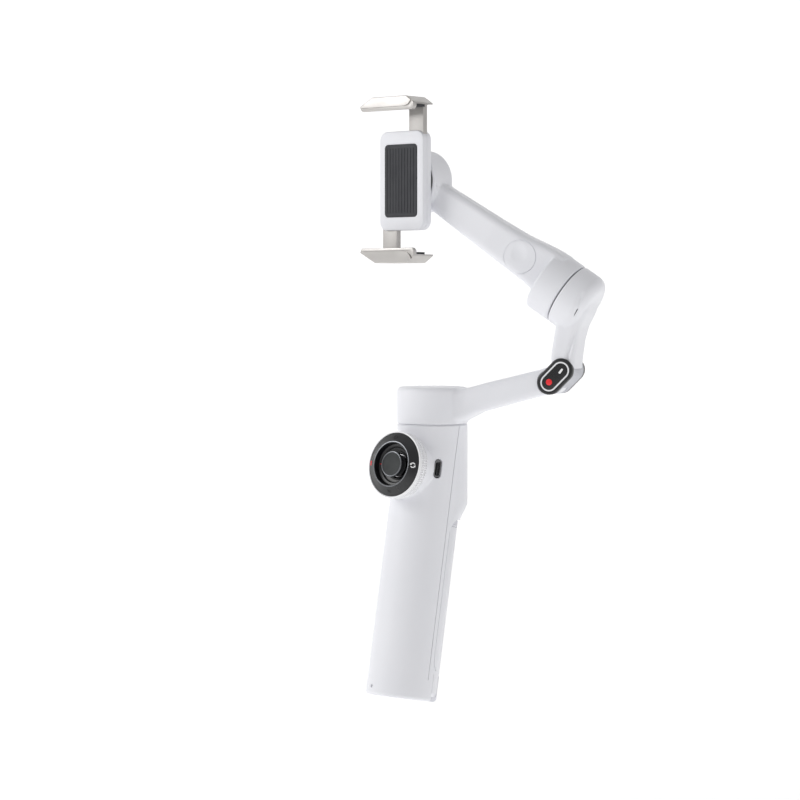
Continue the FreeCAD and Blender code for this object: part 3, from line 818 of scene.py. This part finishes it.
# thumb stick: domed cap with a dished grained top, its metal rim and its boot
def makeStick():
    cap = lathe("thumb_stick", [(2.2, 21.7), (2.4, 21.9), (2.4, 28.5), (6.1, 28.75), (6.55, 29.0),
                                (6.6, 29.4), (6.6, 30.4), (6.1, 30.72), (5.9, 30.62), (4.6, 30.5),
                                (3.0, 30.42), (1.4, 30.38), (0.3, 30.37)], panelFrame, 96)
    pin = lathe("pin", [(0.7, -5.6), (0.7, 5.6)], panelFrame @ moved(0, 0, panel["pinHeight"])
                @ rotated(90, "X"), 24)
    dress(smooth(weld(cap, pin), 30), stickRubber, "stick", ["joystick_cap"])
    rim = lathe("stick_rim",
                [(6.6, 29.6), (6.7, 29.75), (6.7, 30.55), (6.55, 30.8), (6.3, 30.87), (6.1, 30.8)],
                panelFrame, 96)
    cut(rim, lathe("bore", [(6.1, 28), (6.1, 32)], panelFrame, 96))
    dress(smooth(rim, 30), rimMetal, "stick")
    boot = lathe("stick_boot", [(5.7, 25.5), (5.8, 25.9), (5.2, 26.3), (4.6, 26.9), (3.6, 27.3), (2.8, 28.3)],
                 panelFrame, 64)
    cut(boot, lathe("bore", [(2.3, 24), (2.3, 30)], panelFrame, 32))
    dress(smooth(boot, 40), padRubber, "stick")


makeStick()
print("thumb stick done")


# charging port: a drawn steel mouth, its tongue and the small mark beside it
port = dict(length=9.0, radius=1.65, mouth=(8.35, 1.32), mark=9)


def makePort(d):
    place = azimuthFrame(*grip["port"]) @ rotated(90, "Z")
    length, r = d["length"], d["radius"]
    shell = loft("port_shell", [pillRing(length, r, 11.0), pillRing(length, r, 17.4),
                                pillRing(length - 0.2, r - 0.1, 17.6)], place)
    cut(shell, loft("mouth", [pillRing(*d["mouth"], z) for z in (11.6, 20)], place))
    dress(smooth(shell, 30), steelFinish, "grip", ["usb_socket"])
    tongue = softEdges(block("port_tongue", (-3.3, 3.3), (-0.35, 0.35), (11.4, 16.2), place), 0.12)
    dress(smooth(tongue, 30), blackSatin, "grip")
    bolt = ((0.25, 0.95), (-0.5, -0.15), (-0.05, -0.15), (-0.25, -0.95), (0.5, 0.15), (0.05, 0.15))
    mark = loft("mark_charge", [[(x, y, z) for x, y in bolt] for z in (18.3, 18.64)],
                azimuthFrame(grip["port"][0] - d["mark"], grip["port"][1]))
    dress(mark, greyPaint, "grip")


makePort(port)


# side button, with a fine ring pressed into its top
sideButton = dict(radius=3.0, low=14.5, top=19.1, ring=(1.25, 1.5))


def makeSideButton(d):
    place = azimuthFrame(*grip["button"])
    r, low, top = d["radius"], d["low"], d["top"]
    button = lathe("side_button_cap", [(r - 0.1, low), (r, low + 0.2), (r, top - 0.5), (r - 0.2, top - 0.15),
                                       (2.2, top - 0.02), (1.2, top), (0.4, top)], place, 64)
    cut(button, ringCutter("ring", *d["ring"], (top - 0.1, 20), place, 48))
    dress(smooth(button, 30), whiteShell, "button", ["side_button"])


makeSideButton(sideButton)


# trigger: a curved black paddle behind the hump, with three finger ribs
trigger = dict(halfWidth=6.0, radii=(14.5, 19.4), heights=(104, 124), axle=1.06, ribs=(106.6, 108.2, 109.8))


def makeTrigger(d):
    half = math.degrees(d["halfWidth"] / d["radii"][1])
    paddle = wrappedPlate("trigger_paddle", (180 - half, 180 + half), d["heights"], 1.3, d["radii"], panAxis,
                          0.5, 0.8)
    hollow = block("hollow", (-4.2, 4.2), (12.5, 16.6), (106, 119), panAxis)
    axle = lathe("axle", [(d["axle"], -8), (d["axle"], 8)], moved(0, 40.2, 122) @ rotated(90, "Y"), 32)
    cut(paddle, hollow, axle)
    for z in d["ribs"]:
        cut(paddle, ringCutter("rib", 19.05, 24, (z, z + 0.5), panAxis))
    dress(smooth(paddle, 30), blackSatin, "trigger", ["trigger"])


makeTrigger(trigger)
print("small controls done")


# pan cover
cover = lathe("pan_cover_cap",
              [(15.7, 5.1), (16.0, 5.3), (16.0, 6.85), (15.8, 7.05), (15.4, 7.1), (0.5, 7.1)], panFrame, fine)
dress(smooth(cover, 30), whiteShell, "lower_arm", ["pan_cover"])


# elbow: ribbed barrel, the black cap with its lamp and bar, and the band behind
elbow = dict(length=21.41, radius=6.25, front=10.9, back=13.0, capDeep=3.1, bandDeep=3.2, points=320)
pillFrame = armFrame @ frameOf((barrelSpot[0] * mm, 0, barrelSpot[1] * mm), (0, -1, 0), (1, 0, 1))
foldPlace = pillFrame @ moved(-4.455, 0, 0)


def makeElbow(d):
    n, r, f, b = d["length"], d["radius"], d["front"], d["back"]
    capFoot, bandTop = f - d["capDeep"], -b + d["bandDeep"]

    def step(inset, z, ripple=0.0):
        return evenPill(n - 2 * inset, r - inset, z, d["points"], ripple)

    barrel = loft("elbow_barrel_shell",
                  [step(0, bandTop), step(0, -9.0), step(0.03, -8.9, 0.2), step(0.03, 6.9, 0.2),
                   step(0, 7.1), step(0, capFoot)], pillFrame)
    gap = lathe("gap", [(6.45, -5.1), (6.45, 5.1)], foldPlace, 64)
    bore = lathe("bore", [(2.0, -9.0), (2.0, 9.0)], foldPlace, 32)
    cut(barrel, gap, bore)
    dress(smooth(barrel, 30), greyShell, "upper_arm", ["elbow_barrel"])
    cap = loft("elbow_cap_ring",
               [step(0.1, capFoot + 0.02), step(0, capFoot + 0.15), step(0, f - 0.75), step(0.12, f - 0.4),
                step(0.4, f - 0.12), step(0.8, f), step(1.4, f), step(1.7, f - 0.12), step(1.75, f - 0.5)],
               pillFrame)
    dress(smooth(cap, 30), blackSatin, "upper_arm", ["elbow_cap"])
    line = loft("elbow_ring",
                [step(1.76, f - 0.55), step(1.76, f - 0.12), step(1.86, f - 0.04), step(2.4, f - 0.04),
                 step(2.5, f - 0.12), step(2.5, f - 0.5)], pillFrame)
    dress(smooth(line, 30), whiteGloss, "upper_arm")
    glass = loft("elbow_window",
                 [step(2.52, f - 0.56), step(2.52, f - 0.16), step(2.64, f - 0.08), step(3.0, f - 0.06)],
                 pillFrame)
    dress(smooth(glass, 30), blackGloss, "upper_arm")
    red = lathe("record_lamp", [(1.72, f - 0.2), (1.72, f - 0.1), (1.55, f - 0.02), (0.8, f), (0.2, f)],
                pillFrame @ moved(-4.2, 0.1, 0), 48)
    dress(smooth(red, 40), redPaint, "upper_arm")
    bar = loft("level_bar",
               [pillRing(3.1, 0.55, f - 0.2), pillRing(3.1, 0.55, f - 0.02), pillRing(2.95, 0.47, f)],
               pillFrame @ moved(4.3, -0.3, 0) @ rotated(7, "Z"))
    dress(smooth(bar, 30), whitePaint, "upper_arm")
    band = loft("elbow_band_ring",
                [step(0.5, -b), step(0.12, -b + 0.12), step(0, -b + 0.45), step(0, bandTop - 0.15),
                 step(0.1, bandTop - 0.02)], pillFrame)
    screw = lathe("recess", [(2.4, -15), (2.4, -b + 1.2)], foldPlace, 48)
    cut(band, screw)
    dress(smooth(band, 30), blackSatin, "upper_arm", ["elbow_band"])
    head = lathe("elbow_screw", [(2.2, -b + 1.4), (2.2, -b + 0.4), (2.0, -b + 0.2), (0.3, -b + 0.18)],
                 foldPlace, 48)
    hexagon = lathe("hexagon", [(1.0, -b - 1), (1.0, -b + 0.9)], foldPlace, 6)
    dress(smooth(cut(head, hexagon), 30), steelFinish, "upper_arm")


makeElbow(elbow)
print("elbow done")


# clamp: body, back pad, screws and the two sprung jaws
clamp = dict(wide=30.0, high=52.0, front=-10.2, back=-2.7, corner=4.6, seam=(-6.95, -6.7), reach=(4.0, 14.1),
             slide=(-8.7, -5.3), screws=(11.5, 22.4), pad=(22.0, 38.0, 2.0), padRibs=10, ribWidth=0.6)
clampDepth = clampFrame @ frameOf((0, 0, 0), (0, 1, 0), (1, 0, 0))


def makeClamp(d):
    w, h, c, front, back = d["wide"], d["high"], d["corner"], d["front"], d["back"]

    def step(inset, y):
        return roundedRing(w - 2 * inset, h - 2 * inset, c - inset * 0.5, y)

    body = loft("clamp_body_shell",
                [step(0.8, front), step(0.25, front + 0.25), step(0, front + 0.8), step(0, back - 1.5),
                 step(0.25, back - 0.6), step(1.0, back)], clampDepth)
    seam = loft("seam", [roundedRing(40, 62, 4, y) for y in d["seam"]], clampDepth)
    cut(seam, loft("inside", [step(0.3, -8), step(0.3, -5)], clampDepth))
    near, far = d["reach"]
    slots = [block("slot", (near, far), d["slide"], (-24, 30), clampFrame),
             block("slot", (-far, -near), d["slide"], (-30, 24), clampFrame)]
    pocket = loft("pocket", [roundedRing(22.3, 38.3, 2.2, y) for y in (-11, -9.75)], clampDepth)
    spots = [(sx * d["screws"][0], sz * d["screws"][1]) for sx in (-1, 1) for sz in (-1, 1)]
    holes = [lathe("hole", [(1.9, -4.7), (1.9, 0)], clampDepth @ moved(x, z, 0), 32) for x, z in spots]
    pinion = lathe("pinion", [(4.3, y) for y in d["slide"]], clampDepth, 48)
    axle = lathe("axle", [(1.26, -9.6), (1.26, -3.6)], clampDepth, 24)
    cut(body, seam, pocket, pinion, axle, *slots, *holes)
    dress(smooth(body, 30), whiteShell, "clamp", ["clamp_body"])
    heads = []
    for x, z in spots:
        place = clampDepth @ moved(x, z, 0)
        head = lathe("head", [(1.2, -4.6), (1.85, -4.2), (1.85, -3.1), (1.7, -2.95), (0.2, -2.9)], place, 40)
        heads.append(cut(head, lathe("star", [(0.85, -3.7), (0.85, -2.0)], place, 6)))
    dress(smooth(joined("clamp_screw_heads", heads), 30), steelFinish, "clamp", ["clamp_screws"])
    pad = loft("back_pad_rubber",
               [roundedRing(*d["pad"], y) for y in (-9.8, -10.45)] + [roundedRing(21.6, 37.6, 1.8, -10.6)],
               clampDepth)
    ribs = [block("rib", (x, x + d["ribWidth"]), (-11, -10.4), (-17.0, 17.0), clampFrame)
            for x in [-9.3 + 2.0 * i for i in range(d["padRibs"])]]
    cut(pad, *ribs)
    dress(smooth(pad, 30), padRubber, "clamp", ["back_pad"])


jaw = dict(left=-19.2, right=18.1, front=-21.2, back=-5.4, lipThick=2.2, edge=1.0, chamfer=(5.5, 3.6),
           rack=(-8.6, -5.4), rackEnd=-14.2, pad=(-16.55, 15.45), padDeep=(-18.8, -9.2), padThick=1.2,
           padRibs=10)


def makeJaw(side, name, seat, outer, lip, leftChamfer, rackX):
    d = jaw
    l, r = d["left"], d["right"]
    lc, rc = leftChamfer, d["chamfer"]
    points = [(l + 1.5, lip), (r - 1.2, lip), (r, lip + 1.4), (r, outer - rc[1]), (r - rc[0], outer),
              (l + lc[0], outer), (l, outer - lc[1]), (l, lip + 1.7)]
    body = loft(name + "_hook", [[(x, y, side * z) for x, z in points] for y in (d["front"], d["back"])],
                clampFrame)
    softEdges(body, d["edge"], 5, 25)
    far = 90.0  # the groove's two outlines run out well past the jaw
    seatCut = block("seatCut", (-40, 40), (d["front"] + d["lipThick"], 2),
                    sorted((side * seat, side * (seat - 30))), clampFrame)
    cut(body, seatCut)
    outerLine = roundedRing(far, far, 2.2, 0, r - 1.35 - far / 2, lip + 1.35 + far / 2)
    innerLine = roundedRing(far, far, 5.0, 0, r - 2.0 - far / 2, lip + 1.95 + far / 2)
    groove = loft("groove", [[(x, y, side * z) for x, z, _ in outerLine] for y in (-24, -20.55)], clampFrame)
    cut(groove, loft("inside", [[(x, y, side * z) for x, z, _ in innerLine] for y in (-26, -19)], clampFrame))
    cut(body, groove)
    rackSpan = sorted((side * (seat + 0.5), side * d["rackEnd"]))
    rack = softEdges(block("rack", rackX, d["rack"], rackSpan, clampFrame), 0.3)
    weld(body, rack)
    dress(smooth(body, 30), jawMetal, name, [name])
    pad = block(name + "_rubber", d["pad"], d["padDeep"],
                sorted((side * (seat - d["padThick"]), side * seat)), clampFrame)
    for i in range(d["padRibs"]):
        x = -15.0 + 3.2 * i
        cut(pad, block("rib", (x, x + 0.9), (-19.5, -8.0),
                       sorted((side * (seat - 2.0), side * (seat - 0.75))), clampFrame))
    dress(smooth(pad, 30), padRubber, name, [name.replace("jaw", "pad")])


makeClamp(clamp)
makeJaw(1, "upper_jaw", 39.2, 43.4, 36.2, (8.5, 4.4), (4.1, 14.0))
makeJaw(-1, "lower_jaw", 38.8, 43.3, 35.4, (10.5, 5.6), (-14.0, -4.1))
print("clamp done")


# camera, light and floor
view = dict(turn=40.5, distance=1.3, rise=52.6, shift=17.1, lens=111.15, sensor=36.0, near=0.05)
studio = dict(ambient=0.44, glow=0.35, floor=(6.0, -0.06), wall=(8.0, 2.2))
viewTurn = math.radians(view["turn"])
target = Vector((0, panPoint.y, datumZ)) - view["shift"] * mm * Vector((math.cos(viewTurn),
        math.sin(viewTurn), 0))
away = Vector((math.sin(viewTurn), -math.cos(viewTurn), 0))
bpy.ops.object.camera_add(location=target + away * view["distance"] + Vector((0, 0, view["rise"] * mm)))
camera = bpy.context.active_object
camera.rotation_euler = (target - camera.location).to_track_quat("-Z", "Y").to_euler()
camera.data.lens = view["lens"]
camera.data.sensor_width = view["sensor"]
camera.data.clip_start = view["near"]
bpy.context.scene.camera = camera

world = bpy.data.worlds.new("softStudio")
bpy.context.scene.world = world
world.use_nodes = True
sky = world.node_tree.nodes["Background"].inputs
sky["Color"].default_value = (1, 1, 1, 1)
sky["Strength"].default_value = studio["ambient"]


def softLight(name, place, aim, size, power):
    bpy.ops.object.light_add(type="AREA", location=place)
    light = bpy.context.active_object
    light.name = name
    light.data.size = size
    light.data.energy = power
    light.rotation_euler = (Vector(aim) - Vector(place)).to_track_quat("-Z", "Y").to_euler()


centre = (0.02, 0.03, 0.16)
softLight("keyLight", (-0.75, -0.85, 0.75), centre, 0.7, 5.8)
softLight("rimLight", (1.1, 0.25, 0.35), centre, 0.5, 0.8)

floorFinish = grained("paleFloorPaint", "#FFFFFF", "#FDFDFD", 0.8, 0.05, 3.0, 0.02)
paint = floorFinish.node_tree.nodes["Principled BSDF"].inputs
paint["Emission Color"].default_value = (1, 1, 1, 1)
paint["Emission Strength"].default_value = studio["glow"]


def stagePlane(name, size, place, turn=(0, 0, 0)):
    clearSelection()
    bpy.ops.mesh.primitive_plane_add(size=size, location=place, rotation=turn)
    plane = newest(name)
    plane.data.materials.append(floorFinish)


stagePlane("floor", studio["floor"][0], (0, 0, studio["floor"][1]))
stagePlane("wall", studio["wall"][0], target - away * studio["wall"][1], (math.radians(90), 0, viewTurn))
bpy.context.scene.view_settings.view_transform = "Standard"

# the parts that keep their solid shape take the finish of their slot
finishOf = {
    "white_shell": whiteShell, "white_gloss": whiteGloss, "grey_shell": greyShell, "black_satin": blackSatin,
    "stick_rubber": stickRubber, "rubber": padRubber, "foot_rubber": footRubber, "jaw_metal": jawMetal,
    "pole_metal": poleMetal, "steel": steelFinish,
    "insert_brass": brassFinish, "motor_iron": ironFinish, "board_green": boardFinish,
    "cell_wrap": cellFinish,
}
for part in frame["record"]["subparts"]:
    node = nodes[part["node"]]
    node.data.materials.clear()
    node.data.materials.append(finishOf[part["material_slot"]])
print("carried-over parts finished")
